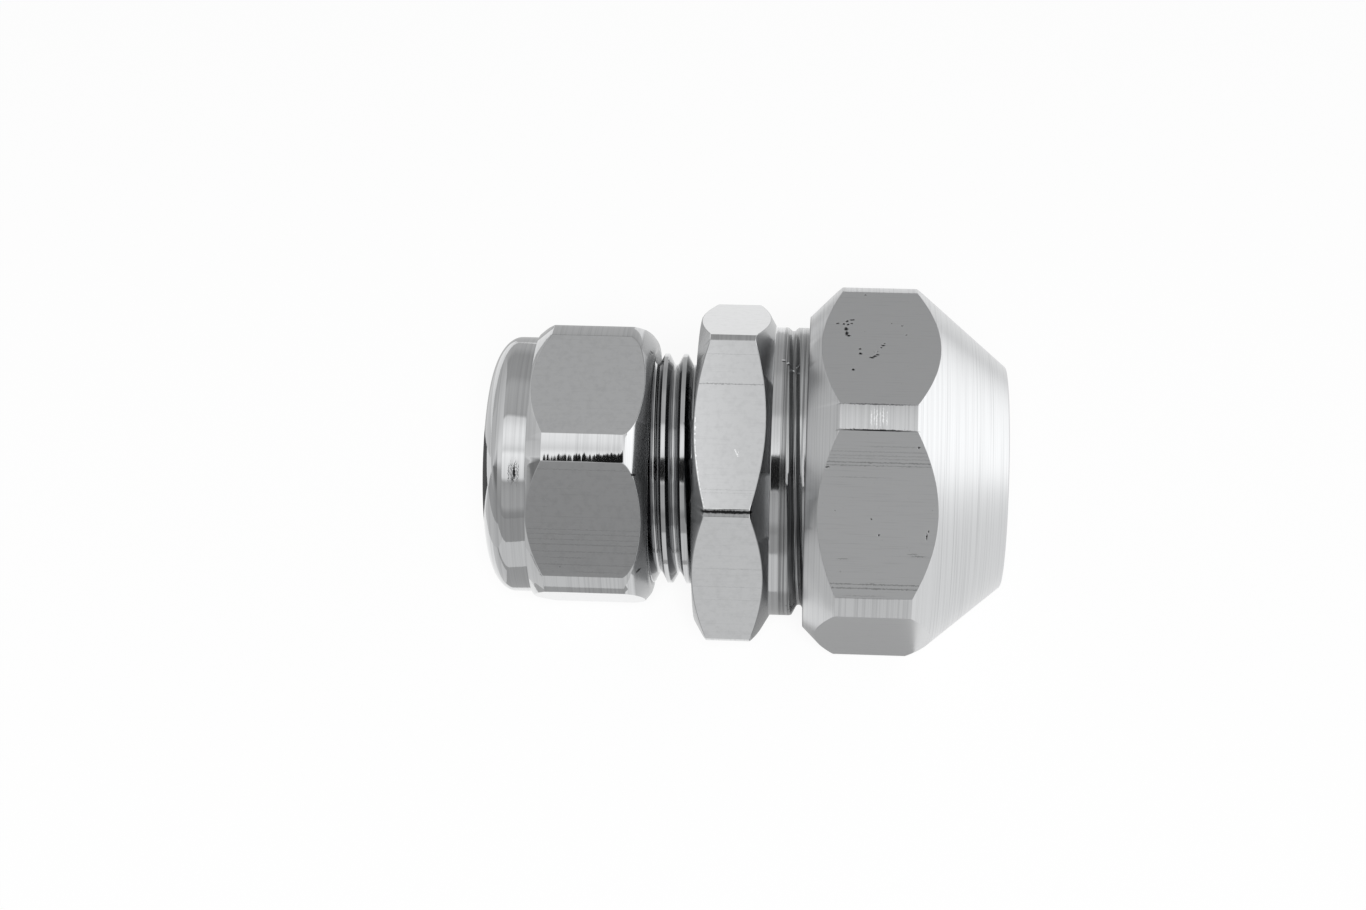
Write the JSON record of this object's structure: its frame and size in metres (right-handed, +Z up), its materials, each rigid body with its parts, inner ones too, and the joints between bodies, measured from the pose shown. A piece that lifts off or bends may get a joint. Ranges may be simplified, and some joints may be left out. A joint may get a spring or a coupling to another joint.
{
  "type": "tube union",
  "caption": "Chrome-plated reducing compression union: a hexagonal body with a pipe thread, a union nut and a compression ring at each end.",
  "frame": {"origin": "on the surface that the union lies on, under the middle of its length and width", "axes": "+X along the tube axis towards the large end, +Z up from the surface"},
  "size_m": [0.0366, 0.0268, 0.0251],
  "materials": {
    "polished_chrome": "polished chrome plate on brass",
    "satin_chrome": "satin chrome plate on turned brass",
    "bare_brass": "turned brass"
  },
  "bodies": {
    "fitting_body": {"union_body": "polished_chrome"},
    "small_ring_body": {"small_ring": "bare_brass"},
    "small_nut_body": {"small_nut": "polished_chrome"},
    "large_ring_body": {"large_ring": "bare_brass"},
    "large_nut_body": {"large_nut": "satin_chrome"}
  },
  "joints": [
    {"name": "small_nut_travel", "type": "slide", "parent": "fitting_body", "child": "small_ring_body", "axis": [-1, 0, 0], "range_m": [0, 0.0057]},
    {"name": "small_nut_turn", "type": "hinge", "parent": "small_ring_body", "child": "small_nut_body", "pos_m": [-0.01088, 0, 0.01255], "axis": [-1, 0, 0], "range_deg": [0, 1530]},
    {"name": "large_nut_travel", "type": "slide", "parent": "fitting_body", "child": "large_ring_body", "axis": [1, 0, 0], "range_m": [0, 0.0065]},
    {"name": "large_nut_turn", "type": "hinge", "parent": "large_ring_body", "child": "large_nut_body", "pos_m": [0.00918, 0, 0.01255], "axis": [1, 0, 0], "range_deg": [0, 1278]}
  ],
  "couplings": [
    {"joint": "small_nut_travel", "follows": "small_nut_turn", "m_per_rad": 0.00021279},
    {"joint": "large_nut_travel", "follows": "large_nut_turn", "m_per_rad": 0.00028871}
  ]
}
